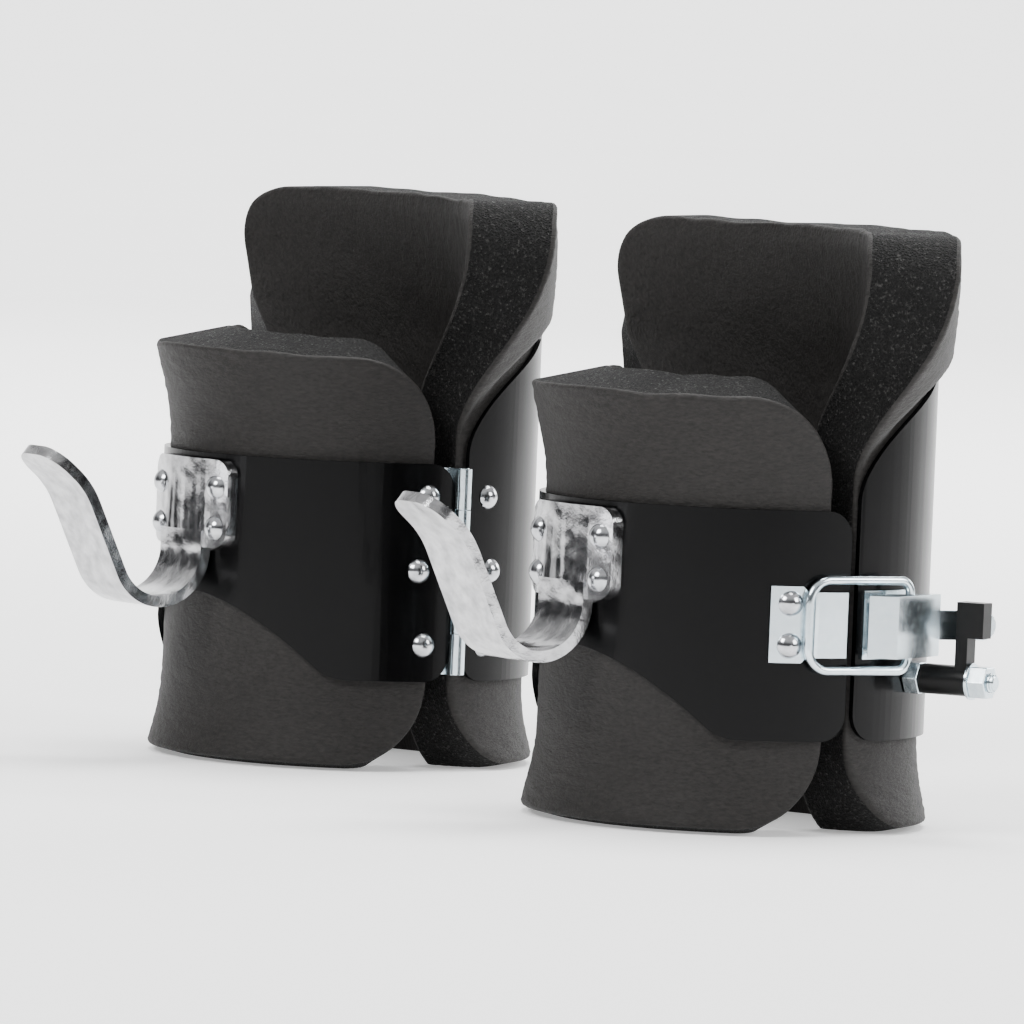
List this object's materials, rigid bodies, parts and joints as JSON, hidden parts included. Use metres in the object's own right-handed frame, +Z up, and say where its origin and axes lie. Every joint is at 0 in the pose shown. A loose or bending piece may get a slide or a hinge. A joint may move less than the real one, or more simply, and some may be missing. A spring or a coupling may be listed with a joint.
{
  "type": "gravity boots",
  "caption": "Pair of padded steel ankle cuffs, each with a J-shaped bar hook, a side hinge and a toggle latch with a safety catch, for hanging from a bar.",
  "frame": {"origin": "middle of the pair's footprint on the floor, under the centre of the bounding box", "axes": "+Z up; -Y is the front, where the hooks are; +X towards the right boot; each boot's latch is on its outer side and its hinge on its inner side"},
  "size_m": [0.4054, 0.1948, 0.1935],
  "materials": {
    "painted_shell": "gloss black paint on pressed steel",
    "foam": "dark charcoal closed-cell foam with a leathery skin",
    "plated_hook": "bright plated steel",
    "zinc_hardware": "blue-white zinc plate",
    "black_plastic": "moulded black plastic, slightly glossy"
  },
  "bodies": {
    "left_front_half": {"left_front_shell": "painted_shell", "left_front_foam": "foam", "left_hook": "plated_hook", "left_hook_rivets": "zinc_hardware", "left_hinge_front_leaf": "zinc_hardware", "left_hinge_pin": "zinc_hardware", "left_hinge_front_rivets": "zinc_hardware", "left_strike_plate": "zinc_hardware", "left_strike_rivets": "zinc_hardware"},
    "left_rear_half": {"left_rear_shell": "painted_shell", "left_rear_foam": "foam", "left_hinge_rear_leaf": "zinc_hardware", "left_hinge_rear_rivets": "zinc_hardware", "left_latch_base": "zinc_hardware", "left_latch_base_rivets": "zinc_hardware", "left_lever_pivot_pin": "zinc_hardware", "left_catch_bolt": "zinc_hardware", "left_catch_base_nut": "zinc_hardware", "left_catch_washer": "zinc_hardware", "left_catch_lock_nut": "zinc_hardware"},
    "left_lever": {"left_latch_lever": "zinc_hardware"},
    "left_bail": {"left_wire_bail": "zinc_hardware"},
    "left_catch": {"left_safety_catch": "black_plastic"},
    "right_front_half": {"right_front_shell": "painted_shell", "right_front_foam": "foam", "right_hook": "plated_hook", "right_hook_rivets": "zinc_hardware", "right_hinge_front_leaf": "zinc_hardware", "right_hinge_pin": "zinc_hardware", "right_hinge_front_rivets": "zinc_hardware", "right_strike_plate": "zinc_hardware", "right_strike_rivets": "zinc_hardware"},
    "right_rear_half": {"right_rear_shell": "painted_shell", "right_rear_foam": "foam", "right_hinge_rear_leaf": "zinc_hardware", "right_hinge_rear_rivets": "zinc_hardware", "right_latch_base": "zinc_hardware", "right_latch_base_rivets": "zinc_hardware", "right_lever_pivot_pin": "zinc_hardware", "right_catch_bolt": "zinc_hardware", "right_catch_base_nut": "zinc_hardware", "right_catch_washer": "zinc_hardware", "right_catch_lock_nut": "zinc_hardware"},
    "right_lever": {"right_latch_lever": "zinc_hardware"},
    "right_bail": {"right_wire_bail": "zinc_hardware"},
    "right_catch": {"right_safety_catch": "black_plastic"}
  },
  "joints": [
    {"name": "boot_spacing", "type": "slide", "parent": "left_front_half", "child": "right_front_half", "axis": [1, 0, 0], "range_m": [0, 0.2]},
    {"name": "left_cuff_hinge", "type": "hinge", "parent": "left_front_half", "child": "left_rear_half", "pos_m": [-0.04736, 0.03423, 0.068], "axis": [0, 0, -1], "range_deg": [0, 66]},
    {"name": "left_lever_pivot", "type": "hinge", "parent": "left_rear_half", "child": "left_lever", "pos_m": [-0.18146, 0.04123, 0.068], "axis": [0, 0, 1], "range_deg": [0, 50.1]},
    {"name": "left_bail_pivot", "type": "hinge", "parent": "left_lever", "child": "left_bail", "pos_m": [-0.18119, 0.05223, 0.068], "axis": [0, 0, -1], "range_deg": [0, 165.1]},
    {"name": "left_catch_pivot", "type": "hinge", "parent": "left_rear_half", "child": "left_catch", "pos_m": [-0.18467, 0.07029, 0.0505], "axis": [0.8788, -0.4772, 0], "range_deg": [0, 170.1]},
    {"name": "right_cuff_hinge", "type": "hinge", "parent": "right_front_half", "child": "right_rear_half", "pos_m": [0.04736, 0.03423, 0.068], "axis": [0, 0, 1], "range_deg": [0, 66]},
    {"name": "right_lever_pivot", "type": "hinge", "parent": "right_rear_half", "child": "right_lever", "pos_m": [0.18146, 0.04123, 0.068], "axis": [0, 0, -1], "range_deg": [0, 50.1]},
    {"name": "right_bail_pivot", "type": "hinge", "parent": "right_lever", "child": "right_bail", "pos_m": [0.18119, 0.05223, 0.068], "axis": [0, 0, 1], "range_deg": [0, 165.1]},
    {"name": "right_catch_pivot", "type": "hinge", "parent": "right_rear_half", "child": "right_catch", "pos_m": [0.18467, 0.07029, 0.0505], "axis": [0.8788, 0.4772, 0], "range_deg": [0, 170.1]}
  ],
  "couplings": [
    {"joint": "left_lever_pivot", "follows": "left_cuff_hinge", "ratio": 0.75758},
    {"joint": "left_bail_pivot", "follows": "left_cuff_hinge", "ratio": 2.5},
    {"joint": "left_catch_pivot", "follows": "left_cuff_hinge", "ratio": 2.5758},
    {"joint": "right_lever_pivot", "follows": "right_cuff_hinge", "ratio": 0.75758},
    {"joint": "right_bail_pivot", "follows": "right_cuff_hinge", "ratio": 2.5},
    {"joint": "right_catch_pivot", "follows": "right_cuff_hinge", "ratio": 2.5758}
  ]
}
